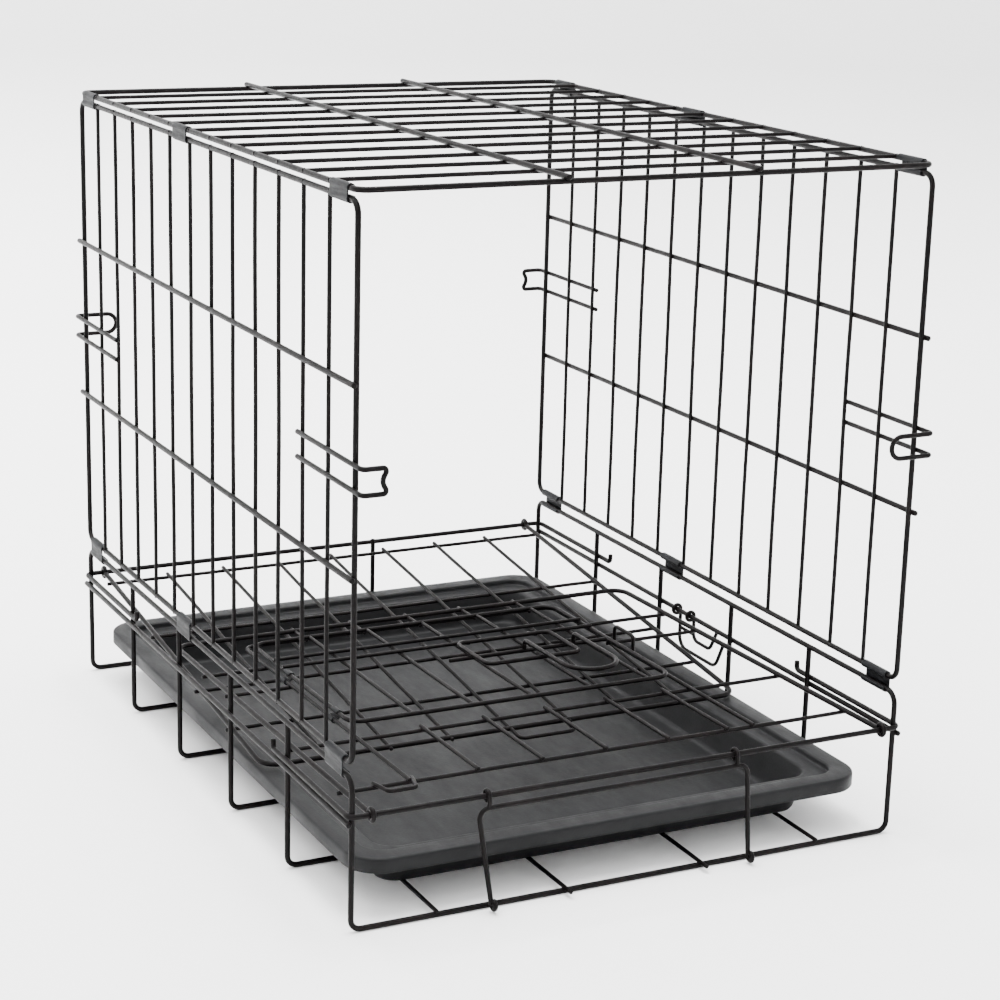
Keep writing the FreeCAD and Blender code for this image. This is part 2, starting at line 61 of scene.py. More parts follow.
WELD = 0.4                 # how far two crossing wires are pressed into each other
OUT = 2 * BARE_R - WELD    # from one frame wire to another welded on it
MESH_OFF = 0.4             # from a border's plane to the thin wires butted on it
OVERHANG = 0.4             # thin wire past the face of its border
NUB = 1.6                  # thin wire past the last wire it crosses
EYE_GAP = 0.4              # round a rail that an eye or a hook turns on
HAIR = 0.01                # keeps two bends next to each other from meeting exactly

BEAD_FRAME = 1.9           # weld beads: frame wire on frame wire
BEAD_END = 1.75            # thin wire butted on a border
BEAD_GUIDE = 1.7           # leg of the bolt guide
BEAD_MESH = 1.6            # thin wire across another wire
BEAD_THIN = 1.5            # thin wire butted on a thin wire
BEAD_SINK = 0.2            # a bead's middle under the face of the wire
MESH_BEAD = 1.0            # from a crossing thin wire's middle to its bead
END_BEAD = 0.3             # from a border's middle to the bead of a butted thin wire

# ---------------------------------------------------------------------------------------------------
# Places in millimetres, read back from the CAD boxes where a box gives them
# ---------------------------------------------------------------------------------------------------


def mm_box(node):
    """The low and the high corner of a node's CAD box, in millimetres."""
    low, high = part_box(node)
    return low * 1000, high * 1000


wall_low, wall_high = mm_box("base_left_wall")
HALF_W = round(-wall_low.x - BARE_R, 2)
HALF_L = round(wall_high.y - BARE_R, 2)
BASE_TOP = round(wall_high.z - BARE_R, 2)
side_low, side_high = mm_box("left_side_mesh")
SIDE_BOTTOM = round(side_low.z + BARE_R + OVERHANG, 2)
SIDE_TOP = round(side_high.z - BARE_R - OVERHANG, 2)
ROOF_Z = round(mm_box("roof_mesh")[0].z + BARE_R, 2)
MID_Z = round(mm_box("base_left_rail")[0].z + BARE_R, 2)
FRONT_Z = round(mm_box("front_hinge_rail")[0].z + BARE_R, 2)
REAR_Z = 71.0
HINGE_Y = round(-mm_box("front_hinge_rail")[0].y - BARE_R, 2)
WALL_FACE = HALF_W + FRAME_R - BEAD_SINK

FLOOR_Z = BARE_R
BAYS = 13                  # gaps between the upright wires of a side, and between the roof's wires
PITCH = 2 * HALF_L / BAYS
CROSS_Y = tuple(HALF_L * k / 5 for k in (-5, -3, -1, 1, 3, 5))
LONG_X = (-126.0, -45.0, 45.0, 126.0)
POST_X = (-54.0, 39.0)
SIDE_RODS = (203.0, 308.0)
ROOF_RODS = (-59.0, 59.0)
CLIP_Y = (-212.0, 32.3, 212.0)


# ---------------------------------------------------------------------------------------------------
# Mesh helpers
# ---------------------------------------------------------------------------------------------------

class Build:
    """Vertices and faces of one piece, in millimetres until it is made."""

    def __init__(self):
        self.verts = []
        self.faces = []

    def ring_strip(self, rings, closed_path=False, caps=True):
        first = len(self.verts)
        count = len(rings[0])
        for ring in rings:
            self.verts.extend(ring)
        steps = len(rings) if closed_path else len(rings) - 1
        for i in range(steps):
            a = first + i * count
            b = first + ((i + 1) % len(rings)) * count
            for k in range(count):
                n = (k + 1) % count
                self.faces.append((a + k, a + n, b + n, b + k))
        if caps and not closed_path:
            self.faces.append(tuple(first + k for k in reversed(range(count))))
            last = first + (len(rings) - 1) * count
            self.faces.append(tuple(last + k for k in range(count)))

    def make(self, name, place=None):
        mesh = bpy.data.meshes.new(name)
        points = [p * MM for p in self.verts]
        if place is not None:
            points = [place @ p for p in points]
        mesh.from_pydata([tuple(p) for p in points], [], self.faces)
        mesh.validate()
        mesh.update()
        mesh.polygons.foreach_set("use_smooth", [True] * len(mesh.polygons))
        piece = bpy.data.objects.new(name, mesh)
        bpy.context.collection.objects.link(piece)
        return piece


def round_angles(count):
    """Angles evenly spaced round a circle."""
    return [2 * math.pi * k / count for k in range(count)]


def bent_path(points, bends, closed=False, step=14.0):
    """Points along a polyline whose corners are turned at their bend radii; step is in degrees."""
    count = len(points)
    if not hasattr(bends, "__len__"):
        bends = [bends] * count
    out = []
    for i, point in enumerate(points):
        if not closed and i in (0, count - 1):
            out.append(point.copy())
            continue
        came = (point - points[i - 1]).normalized()
        goes = (points[(i + 1) % count] - point).normalized()
        turn = came.angle(goes)
        start = point - came * (bends[i] * math.tan(turn / 2))
        toward = (goes - came).normalized()
        centre = point + toward * (bends[i] / math.cos(turn / 2))
        axis = came.cross(goes).normalized()
        steps = max(2, math.ceil(math.degrees(turn) / step))
        for k in range(steps + 1):
            out.append(centre + Matrix.Rotation(turn * k / steps, 3, axis) @ (start - centre))
    same = 1e-4
    clean = [out[0]]
    for p in out[1:]:
        if (p - clean[-1]).length > same:
            clean.append(p)
    if closed and (clean[0] - clean[-1]).length < same:
        clean.pop()
    return clean


# Rings that round off a wire's end: share of the radius, and inset as a share of the radius
TUBE_END = ((0.42, 0.0), (0.80, 0.10), (0.96, 0.30), (1.0, 0.60))


def tube(build, path, radius, closed=False, sides=14):
    """A round wire along the path, with its ends a little rounded."""
    count = len(path)
    tangents = []
    for i in range(count):
        before = path[i - 1] if i or closed else path[0]
        after = path[(i + 1) % count] if i < count - 1 or closed else path[-1]
        tangents.append((after - before).normalized())
    side = tangents[0].orthogonal().normalized()
    frames = []
    for i in range(count):
        if i:
            side = tangents[i - 1].rotation_difference(tangents[i]) @ side
        side = (side - tangents[i] * side.dot(tangents[i])).normalized()
        frames.append((side.copy(), tangents[i].cross(side)))
    twist = 0.0
    if closed:
        last = tangents[-1].rotation_difference(tangents[0]) @ frames[-1][0]
        a, b = frames[0]
        twist = math.atan2(last.dot(b), last.dot(a))

    def circle(index, r, shift=0.0):
        a, b = frames[index]
        centre = path[index] + tangents[index] * shift
        back = twist * index / count
        angles = [t - back for t in round_angles(sides)]
        return [centre + a * (r * math.cos(t)) + b * (r * math.sin(t)) for t in angles]

    if closed:
        rings = [circle(i, radius) for i in range(count)]
    else:
        last = count - 1
        rings = [circle(0, radius * cut, radius * inset) for cut, inset in TUBE_END]
        rings += [circle(i, radius) for i in range(1, last)]
        rings += [circle(last, radius * cut, -radius * inset) for cut, inset in reversed(TUBE_END)]
    build.ring_strip(rings, closed_path=closed)


def wobble(seed):
    """A repeatable number from -1 to 1, by the usual sine hash."""
    x = math.sin(seed * 12.9898) * 43758.5453
    return 2 * (x - math.floor(x)) - 1


def straight(build, start, end, radius, bow=None, welds=(), seed=0):
    """A straight wire. bow is the direction in which it wanders a little between its welds."""
    run = end - start
    if bow is None:
        tube(build, [start, start + run * 0.5, end], radius)
        return
    most_swing, length_per_swing, short, seed_step = 0.75, 150, 25, 7.3
    stops = sorted({0.0, 1.0, *welds})
    path = [start]
    for j, (a, b) in enumerate(zip(stops, stops[1:])):
        length = (b - a) * run.length
        swing = wobble(seed + seed_step * j) * min(most_swing, length / length_per_swing)
        steps = 6 if length > short else 1
        for k in range(1, steps + 1):
            t = a + (b - a) * k / steps
            path.append(start + run * t + bow * (swing * math.sin(math.pi * k / steps)))
    tube(build, path, radius)


# Rings of a weld bead: height and radius, as shares of the bead's radius
BEAD_RINGS = ((-0.42, 0.30), (-0.30, 0.80), (0.0, 1.0), (0.30, 0.80), (0.42, 0.30))


def weld(build, centre, radius, normal):
    """The little flat bead that a resistance weld squeezes out where two wires cross."""
    normal = normal.normalized()
    a = normal.orthogonal().normalized()
    b = normal.cross(a)
    rings = []
    for lift, wide in BEAD_RINGS:
        middle = centre + normal * (lift * radius)
        reach = wide * radius
        rings.append([middle + (a * math.cos(t) + b * math.sin(t)) * reach for t in round_angles(10)])
    build.ring_strip(rings)


def eye(build, centre, radius, wire):
    """A closed ring of wire round a rail that runs along X through the centre."""
    ring = [centre + V((0, radius * math.cos(t), radius * math.sin(t))) for t in round_angles(32)]
    tube(build, ring, wire, True)


# ---------------------------------------------------------------------------------------------------
# Materials
# ---------------------------------------------------------------------------------------------------

def new_material(name):
    material = bpy.data.materials.new(name)
    material.use_nodes = True
    nodes = material.node_tree.nodes
    nodes.clear()
    shader = nodes.new("ShaderNodeBsdfPrincipled")
    output = nodes.new("ShaderNodeOutputMaterial")
    material.node_tree.links.new(shader.outputs["BSDF"], output.inputs["Surface"])
    return material, shader


def add(material, kind, **values):
    node = material.node_tree.nodes.new(kind)
    for key, value in values.items():
        node.inputs[key].default_value = value
    return node


def link(material, source, target):
    material.node_tree.links.new(source, target)


def noise_node(material, scale, detail, rough, stretch=(1, 1, 1)):
    coords = add(material, "ShaderNodeTexCoord")
    mapping = add(material, "ShaderNodeMapping")
    mapping.inputs["Scale"].default_value = stretch
    noise = add(material, "ShaderNodeTexNoise", Scale=scale, Detail=detail, Roughness=rough)
    link(material, coords.outputs["Object"], mapping.inputs["Vector"])
    link(material, mapping.outputs["Vector"], noise.inputs["Vector"])
    return noise


def ramp_node(material, source, stops):
    ramp = add(material, "ShaderNodeValToRGB")
    while len(ramp.color_ramp.elements) < len(stops):
        ramp.color_ramp.elements.new(0.5)
    for element, (at, colour) in zip(ramp.color_ramp.elements, stops):
        element.position = at
        element.color = (*colour, 1.0)
    link(material, source, ramp.inputs["Fac"])
    return ramp


def range_node(material, source, low, high):
    """Stretches the middle of a noise, 0.3 to 0.7, over low to high."""
    node = add(material, "ShaderNodeMapRange")
    node.inputs["From Min"].default_value = 0.3
    node.inputs["From Max"].default_value = 0.7
    node.inputs["To Min"].default_value = low
    node.inputs["To Max"].default_value = high
    link(material, source, node.inputs["Value"])
    return node


def bump_chain(material, shader, sources):
    """Bumps stacked on one another; each source is (output, strength, height in metres)."""
    last = None
    for source, strength, height in sources:
        bump = add(material, "ShaderNodeBump", Strength=strength, Distance=height)
        link(material, source, bump.inputs["Height"])
        if last:
            link(material, last.outputs["Normal"], bump.inputs["Normal"])
        last = bump
    link(material, last.outputs["Normal"], shader.inputs["Normal"])


def coated_wire():
    """Black dipped and baked coating on drawn steel wire: satin, faintly rippled, thin at high spots."""
    material, shader = new_material("coated_wire")
    shader.inputs["Specular IOR Level"].default_value = 0.07
    broad = noise_node(material, 28.0, 3.0, 0.55)
    colour = ramp_node(
        material,
        broad.outputs["Fac"],
        (
            (0.30, (0.0016, 0.0012, 0.0013)),
            (0.55, (0.0026, 0.0019, 0.0020)),
            (0.78, (0.0064, 0.0045, 0.0044)),
        ),
    )
    link(material, colour.outputs["Color"], shader.inputs["Base Color"])
    fine = noise_node(material, 420.0, 4.0, 0.6)
    rough = range_node(material, fine.outputs["Fac"], 0.34, 0.52)
    link(material, rough.outputs["Result"], shader.inputs["Roughness"])
    peel = noise_node(material, 900.0, 2.0, 0.5)
    drips = noise_node(material, 120.0, 2.0, 0.5)
    bump_chain(
        material,
        shader,
        ((peel.outputs["Fac"], 0.35, 0.00008), (drips.outputs["Fac"], 0.30, 0.00025)),
    )
    return material


def clip_steel():
    """Dark coated sheet steel, rolled and crimped, rubbed bare in faint patches."""
    material, shader = new_material("clip_steel")
    shader.inputs["Specular IOR Level"].default_value = 0.08
    broad = noise_node(material, 60.0, 4.0, 0.6)
    colour = ramp_node(
        material,
        broad.outputs["Fac"],
        (
            (0.28, (0.0028, 0.0030, 0.0034)),
            (0.55, (0.0050, 0.0053, 0.0060)),
            (0.80, (0.0150, 0.0155, 0.0170)),
        ),
    )
    link(material, colour.outputs["Color"], shader.inputs["Base Color"])
    scuffs = noise_node(material, 700.0, 6.0, 0.7, (1.0, 0.12, 1.0))
    rough = range_node(material, scuffs.outputs["Fac"], 0.38, 0.62)
    link(material, rough.outputs["Result"], shader.inputs["Roughness"])
    metal = range_node(material, broad.outputs["Fac"], 0.0, 0.15)
    link(material, metal.outputs["Result"], shader.inputs["Metallic"])
    bump_chain(
        material,
        shader,
        ((scuffs.outputs["Fac"], 0.3, 0.00006), (broad.outputs["Fac"], 0.4, 0.0003)),
    )
    return material


def tray_plastic():
    """Vacuum-formed black plastic: fine leather-like grain, broad soft sheen, faint scuffs."""
    material, shader = new_material("tray_plastic")
    shader.inputs["IOR"].default_value = 1.49
    shader.inputs["Specular IOR Level"].default_value = 0.14
    broad = noise_node(material, 7.0, 4.0, 0.55)
    colour = ramp_node(
        material,
        broad.outputs["Fac"],
        (
            (0.3, (0.0028, 0.0029, 0.0033)),
            (0.55, (0.0040, 0.0041, 0.0046)),
            (0.8, (0.0064, 0.0065, 0.0070)),
        ),
    )
    link(material, colour.outputs["Color"], shader.inputs["Base Color"])
    coords = add(material, "ShaderNodeTexCoord")
    grain = add(material, "ShaderNodeTexVoronoi", Scale=950.0)
    grain.feature = "SMOOTH_F1"
    link(material, coords.outputs["Object"], grain.inputs["Vector"])
    scuffs = noise_node(material, 45.0, 7.0, 0.72, (1.0, 0.35, 1.0))
    rough = range_node(material, scuffs.outputs["Fac"], 0.40, 0.62)
    link(material, rough.outputs["Result"], shader.inputs["Roughness"])
    waves = noise_node(material, 11.0, 2.0, 0.5)
    bump_chain(
        material,
        shader,
        (
            (waves.outputs["Fac"], 0.30, 0.0022),
            (grain.outputs["Distance"], 0.30, 0.00018),
            (scuffs.outputs["Fac"], 0.12, 0.0002),
        ),
    )
    return material


SLOTS = {"coated_wire": coated_wire(), "clip_steel": clip_steel(), "tray_plastic": tray_plastic()}


def finish(piece, body, slot, *nodes):
    """Give a piece its material, and put it in place of its CAD nodes."""
    piece.data.materials.append(SLOTS[slot])
    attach(piece, body)
    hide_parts(*nodes)


# ---------------------------------------------------------------------------------------------------
# Base
# ---------------------------------------------------------------------------------------------------

FLOOR_BEND = 6.0           # where a cross wire turns up into its wall
TOP_BEND = 8.0             # where an end wire turns into the top rails


def base_hoops(build):
    """The six U-shaped cross wires; the end two run on into the top side rails as one closed loop."""
    x, y = HALF_W, HALF_L
    loop = [
        V((-x, -y, FLOOR_Z)), V((-x, -y, BASE_TOP)), V((-x, y, BASE_TOP)), V((-x, y, FLOOR_Z)),
        V((x, y, FLOOR_Z)), V((x, y, BASE_TOP)), V((x, -y, BASE_TOP)), V((x, -y, FLOOR_Z)),
    ]
    half = [FLOOR_BEND, TOP_BEND, TOP_BEND, FLOOR_BEND]
    tube(build, bent_path(loop, half + half, True), FRAME_R, True)
    for y in CROSS_Y[1:-1]:
        hoop = [V((-x, y, BASE_TOP)), V((-x, y, FLOOR_Z)), V((x, y, FLOOR_Z)), V((x, y, BASE_TOP))]
        tube(build, bent_path(hoop, FLOOR_BEND), FRAME_R)
        for side in (-1, 1):
            weld(build, V((side * x, y, BASE_TOP)), BEAD_FRAME, Z_AXIS)


def base_floor_wires(build):
    """The lengthwise floor wires; the inner two stick out further in front."""
    inner_nub = 9.0
    z = FLOOR_Z + BARE_R + BARE_MESH_R - WELD
    for i, x in enumerate(LONG_X):
        nub = inner_nub if abs(x) < LONG_X[-1] else NUB
        start, end = V((x, -HALF_L - nub, z)), V((x, HALF_L + NUB, z))
        length = end.y - start.y
        welds = [(y - start.y) / length for y in CROSS_Y]
        straight(build, start, end, MESH_R, X_AXIS, welds, 3 + i)
        for y in CROSS_Y:
            weld(build, V((x, y, FLOOR_Z + FRAME_R - BEAD_SINK)), BEAD_MESH, Z_AXIS)


def base_middle_rail(build, side):
    """The straight rail along the middle of one wall."""
    past = 3.0
    x, end = side * (HALF_W + OUT), HALF_L + past
    straight(build, V((x, -end, MID_Z)), V((x, end, MID_Z)), FRAME_R)
    for y in CROSS_Y:
        weld(build, V((side * WALL_FACE, y, MID_Z)), BEAD_FRAME, V((side, 0, 0)))


def base_hinge_rail(build, end, z):
    """The front (-1) or rear (1) hinge rail; it returns along both walls, with its tips turned up."""
    back_run, tip, corner_bend, tip_bend = 112.0, 6.0, 5, 3
    x, y = HALF_W + OUT, end * HINGE_Y
    back = end * (HINGE_Y - back_run)
    rail = [
        V((-x, back, z + tip)), V((-x, back, z)), V((-x, y, z)),
        V((x, y, z)), V((x, back, z)), V((x, back, z + tip)),
    ]
    tube(build, bent_path(rail, [0, tip_bend, corner_bend, corner_bend, tip_bend, 0]), FRAME_R)
    for side in (-1, 1):
        for hoop_y in CROSS_Y[-2:]:
            weld(build, V((side * WALL_FACE, end * hoop_y, z)), BEAD_FRAME, X_AXIS)


def base_posts(build):
    """The two posts that hold the rear hinge rail up."""
    past = 3.0
    for x in POST_X:
        straight(build, V((x, HALF_L, FLOOR_Z)), V((x, HALF_L, REAR_Z + past)), FRAME_R)
        weld(build, V((x, HALF_L + FRAME_R - BEAD_SINK, REAR_Z)), BEAD_FRAME, Y_AXIS)


def base_basket():
    """The whole welded basket, one piece."""
    build = Build()
    base_hoops(build)
    base_floor_wires(build)
    for side in (-1, 1):
        base_middle_rail(build, side)
    base_hinge_rail(build, -1, FRONT_Z)
    base_hinge_rail(build, 1, REAR_Z)
    base_posts(build)
    return build


# ---------------------------------------------------------------------------------------------------
# Sheet clips
# ---------------------------------------------------------------------------------------------------

SHEET = 0.8                # thickness of the clips' steel
CLIP_WRAP = 236.0          # degrees of sheet round each wire
CLIP_SEAM = 62.0           # degrees from the line between the wires to the seam
CLIP_GAP = 0.3             # round the wire that turns in a clip

# From the middle of a clip to its end: share of its half length, then the inner and the outer face
CLIP_HALF = ((0.90, 0.0, SHEET), (0.97, 0.045, 0.764), (1.0, 0.106, 0.744))
CLIP_STATIONS = (
    *((-at, inner, outer) for at, inner, outer in reversed(CLIP_HALF)), (0.0, 0.0, SHEET), *CLIP_HALF,
)


def clip_shell(build, turning, gripped, loose, tight, length, seam_side=1):
    """A sheet rolled round two wires that run along Y: open at its seam, with thinned ends."""
    across = (gripped - turning).normalized()
    side = Y_AXIS.cross(across) * seam_side
    steps = 10
    wrap = []
    for wire, radius, first in ((turning, loose, -CLIP_SEAM), (gripped, tight, 180 - CLIP_SEAM)):
        for k in range(steps + 1):
            t = math.radians(first - CLIP_WRAP * k / steps)
            normal = across * math.cos(t) + side * math.sin(t)
            wrap.append((wire + normal * radius, normal))
    rings = []
    for at, inner, outer in CLIP_STATIONS:
        shift = Y_AXIS * (at * length / 2)
        ring = [point + shift + normal * outer for point, normal in wrap]
        ring += [point + shift + normal * inner for point, normal in reversed(wrap)]
        rings.append(ring)
    build.ring_strip(rings)


def hinge_clips(side, turning_z, gripped_z):
    """Three clips along one rail; the seam faces inward."""
    build = Build()
    x, length = side * HALF_W, 24.0
    seam_side = -side if gripped_z < turning_z else side
    for y in CLIP_Y:
        turning, gripped = V((x, y, turning_z)), V((x, y, gripped_z))
        clip_shell(build, turning, gripped, BARE_R + CLIP_GAP, FRAME_R, length, seam_side)
    return build


# ---------------------------------------------------------------------------------------------------
# Sides, roof, catches
# ---------------------------------------------------------------------------------------------------

BORDER_BEND = 7.0
ROD_BEAD = BARE_R - BEAD_SINK          # from a border's middle to the bead of a rod across it


def side_panel():
    """The left side without its catches, one welded piece."""
    build = Build()
    x = -HALF_W
    border = [
        V((x, -HALF_L, SIDE_BOTTOM)), V((x, HALF_L, SIDE_BOTTOM)),
        V((x, HALF_L, SIDE_TOP)), V((x, -HALF_L, SIDE_TOP)),
    ]
    tube(build, bent_path(border, BORDER_BEND, True), FRAME_R, True)
    low, high = SIDE_BOTTOM - BARE_R - OVERHANG, SIDE_TOP + BARE_R + OVERHANG
    bar_x = x - MESH_OFF
    welds = [(z - low) / (high - low) for z in (SIDE_BOTTOM, *SIDE_RODS, SIDE_TOP)]
    for i in range(1, BAYS):
        y = -HALF_L + i * PITCH
        straight(build, V((bar_x, y, low)), V((bar_x, y, high)), MESH_R, Y_AXIS, welds, 11 + i)
        for z in SIDE_RODS:
            weld(build, V((bar_x - MESH_BEAD, y, z)), BEAD_MESH, X_AXIS)
        for z in (SIDE_BOTTOM, SIDE_TOP):
            weld(build, V((x - END_BEAD, y, z)), BEAD_END, Z_AXIS)
    past = 4.0
    end = HALF_L + past
    for z in SIDE_RODS:
        straight(build, V((x - OUT, -end, z)), V((x - OUT, end, z)), FRAME_R)
        for y in (-HALF_L, HALF_L):
            weld(build, V((x - ROD_BEAD, y, z)), BEAD_FRAME, X_AXIS)
    return build


CATCH_X = -(HALF_W + BARE_R + BARE_CATCH_R - WELD)
CATCH_START = HALF_L - 2 * PITCH - 3.5               # just past the third upright wire
CATCH_END = HALF_L + 14.0
CATCH_BEND = 3.0
CATCH_BEAD = 1.15          # from a catch's wire to its beads


def catch(heights, points, bends, end):
    """A catch of one bent wire, welded to the last three upright wires at both its heights."""
    build = Build()
    tube(build, bent_path(points, bends), CATCH_R)
    for z in heights:
        for k in range(3):
            y = end * (HALF_L - k * PITCH)
            weld(build, V((CATCH_X + CATCH_BEAD, y, z)), BEAD_MESH, X_AXIS)
    return build


def ear_catch():
    """The front catch of the left side; its tip is pinched in the middle."""
    x, start, end = CATCH_X, -CATCH_START, -CATCH_END
    low, high, deep, pinch = 252.0, 266.0, 15.0, 4.0
    tip_bend, pinch_bend = 1.8, 6.0
    points = [
        V((x, start, high)), V((x, end, high)), V((x + deep, end, high)),
        V((x + deep - pinch, end, (low + high) / 2)), V((x + deep, end, low)),
        V((x, end, low)), V((x, start, low)),
    ]
    bends = [0, CATCH_BEND, tip_bend, pinch_bend, tip_bend, CATCH_BEND, 0]
    return catch((low, high), points, bends, -1)


def loop_catch():
    """The rear catch of the left side; its tip is a plain round loop."""
    x, start, end = CATCH_X, CATCH_START, CATCH_END
    low, high, deep = 241.0, 254.0, 28.0
    tip_bend = (high - low) / 2 - HAIR
    points = [
        V((x, start, high)), V((x, end, high)), V((x + deep, end, high)),
        V((x + deep, end, low)), V((x, end, low)), V((x, start, low)),
    ]
    return catch((low, high), points, [0, CATCH_BEND, tip_bend, tip_bend, CATCH_BEND, 0], 1)


def roof_panel():
    """The roof without its clips, one welded piece."""
    build = Build()
    border = [
        V((-HALF_W, -HALF_L, ROOF_Z)), V((HALF_W, -HALF_L, ROOF_Z)),
        V((HALF_W, HALF_L, ROOF_Z)), V((-HALF_W, HALF_L, ROOF_Z)),
    ]
    tube(build, bent_path(border, BORDER_BEND, True), FRAME_R, True)
    reach = HALF_W + BARE_R + OVERHANG
    z = ROOF_Z + MESH_OFF
    welds = [(x + reach) / (2 * reach) for x in (-HALF_W, *ROOF_RODS, HALF_W)]
    for i in range(1, BAYS):
        y = -HALF_L + i * PITCH
        straight(build, V((-reach, y, z)), V((reach, y, z)), MESH_R, Y_AXIS, welds, 41 + i)
        for x in ROOF_RODS:
            weld(build, V((x, y, z + MESH_BEAD)), BEAD_MESH, Z_AXIS)
        for x in (-HALF_W, HALF_W):
            weld(build, V((x, y, ROOF_Z + END_BEAD)), BEAD_END, X_AXIS)
    past = 4.5
    end, rod_z = HALF_L + past, ROOF_Z + OUT
    for x in ROOF_RODS:
        straight(build, V((x, -end, rod_z)), V((x, end, rod_z)), FRAME_R)
        for y in (-HALF_L, HALF_L):
            weld(build, V((x, y, ROOF_Z + ROD_BEAD)), BEAD_FRAME, Z_AXIS)
    return build


# ---------------------------------------------------------------------------------------------------
# Folded panels: drawn flat, as (across, out from the hinge rail, up), then carried to their rails
# ---------------------------------------------------------------------------------------------------

FRONT_DROOP = math.radians(1.0)
REAR_DROOP = math.radians(6.2)

on_front = Matrix.Translation(V((0, -HINGE_Y, FRONT_Z)) * MM) @ Matrix.Rotation(-FRONT_DROOP, 4, "X")
on_rear = (
    Matrix.Translation(V((0, HINGE_Y, REAR_Z)) * MM)
    @ Matrix.Rotation(math.pi, 4, "Z")
    @ Matrix.Rotation(-REAR_DROOP, 4, "X")
)

PANEL_X = 167.0
PANEL_BEND = 11.0
PANEL_REACH = PANEL_X + FRAME_R + NUB
EYE_R = BARE_R + EYE_GAP + BARE_CATCH_R
RUNG_UP = -2.0             # the rungs lie under the uprights

FRONT_LEN = 320.0
FRONT_RUNGS = (41.0, 115.0)
FRONT_STUBS = (219.0, 260.0)           # short rungs beside the doorway
OPEN_LEFT, OPEN_RIGHT, OPEN_TOP = -126.6, 101.0, 301.0
REAR_LEN = 311.0
REAR_RUNGS = (17.0, 111.0, 198.0, 255.0)

DOOR_LEFT, DOOR_RIGHT, DOOR_LOW, DOOR_HIGH = -123.6, 97.2, 130.0, 294.0
DOOR_UP = 3.5                          # heights over the front panel: the door,
BOLT_UP = DOOR_UP + 2 * BARE_CATCH_R + 0.8           # the bolt on it,
GUIDE_UP = BOLT_UP + 2 * BARE_CATCH_R + 0.8          # the guide over the bolt,
KEEPER_UP = BOLT_UP + 2 * BARE_CATCH_R + 1.3         # the keeper over the bolt's tip,
HANDLE_UP = BOLT_UP + 4 * BARE_CATCH_R + 1.8         # and the bolt's handle over the guide
BOLT_V = 203.5


def panel_border(build, length):
    """A U-shaped border, welded to an eye at each end that turns on the hinge rail."""
    x, bead_out = PANEL_X, 0.6
    border = [V((-x, EYE_R, 0)), V((-x, length, 0)), V((x, length, 0)), V((x, EYE_R, 0))]
    tube(build, bent_path(border, PANEL_BEND), FRAME_R)
    for x in (-PANEL_X, PANEL_X):
        eye(build, V((x, 0, 0)), EYE_R, CATCH_R)
        weld(build, V((x, EYE_R + bead_out, 0)), BEAD_FRAME, Y_AXIS)


def rung(build, x0, x1, v, seed, crossed):
    """A thin wire across a panel, welded under every wire it crosses between x0 and x1."""
    inside = [x for x in crossed if x0 < x < x1]
    welds = [(x - x0) / (x1 - x0) for x in inside]
    straight(build, V((x0, v, RUNG_UP)), V((x1, v, RUNG_UP)), MESH_R, Y_AXIS, welds, seed)
    for x in inside:
        weld(build, V((x, v, RUNG_UP / 2)), BEAD_MESH, Z_AXIS)


def front_rungs(build, bars):
    crossed = (-PANEL_X, OPEN_LEFT, *bars, OPEN_RIGHT, PANEL_X)
    for i, v in enumerate(FRONT_RUNGS):
        rung(build, -PANEL_REACH, PANEL_REACH, v, 61 + i, crossed)
    for i, v in enumerate(FRONT_STUBS):
        rung(build, -PANEL_REACH, OPEN_LEFT + NUB, v, 63 + i, crossed)
        rung(build, OPEN_RIGHT - NUB, PANEL_REACH, v, 65 + i, crossed)


def front_doorway(build, bars):
    """The surround of the doorway, the bars under its sill and the bars over its top."""
    foot, sill = FRONT_RUNGS
    low, high, joints = foot - MESH_R - NUB, sill + MESH_R + NUB, (0.05, 0.95)
    surround = [
        V((OPEN_LEFT, low, 0)), V((OPEN_LEFT, OPEN_TOP, 0)),
        V((OPEN_RIGHT, OPEN_TOP, 0)), V((OPEN_RIGHT, low, 0)),
    ]
    tube(build, bent_path(surround, 8.0), MESH_R)
    for i, x in enumerate(bars):
        straight(build, V((x, low, 0)), V((x, high, 0)), MESH_R, X_AXIS, joints, 70 + i)
    before, past = 2.7, 6.0
    for x in (-83.0, -41.0, 0.0, 41.0, 83.0):
        start, end = OPEN_TOP - before, FRONT_LEN + past
        straight(build, V((x, start, -MESH_OFF)), V((x, end, -MESH_OFF)), MESH_R)
        weld(build, V((x, OPEN_TOP, -END_BEAD)), BEAD_THIN, Y_AXIS)
        weld(build, V((x, FRONT_LEN, -END_BEAD)), BEAD_END, Y_AXIS)


def panel_hook(build):
    """The loop under the foot rung that hooks the panel down."""
    foot, drop = FRONT_RUNGS[0], 14.0
    near, far, up = foot + NUB, foot - drop, 0.2
    hook = [V((-148.0, near, up)), V((-144.5, far, up)), V((-127.5, far, up)), V((-124.0, near, up))]
    tube(build, bent_path(hook, 3.0), MESH_R)


def bolt_keeper(build):
    """The staple beside the doorway that the bolt slides into."""
    x, low, high, bead_in = 104.0, 191.0, 216.0, 1.4
    staple = [V((x, low, 0)), V((x, low, KEEPER_UP)), V((x, high, KEEPER_UP)), V((x, high, 0))]
    tube(build, bent_path(staple, 3.5), MESH_R)
    for v in (low, high):
        weld(build, V((x - bead_in, v, END_BEAD)), BEAD_THIN, X_AXIS)


def front_panel():
    """The front panel without its door, one welded piece."""
    build = Build()
    bars = (-83.5, -42.0, 0.0, 42.0, 83.0)
    panel_border(build, FRONT_LEN)
    front_rungs(build, bars)
    front_doorway(build, bars)
    panel_hook(build)
    bolt_keeper(build)
    return build


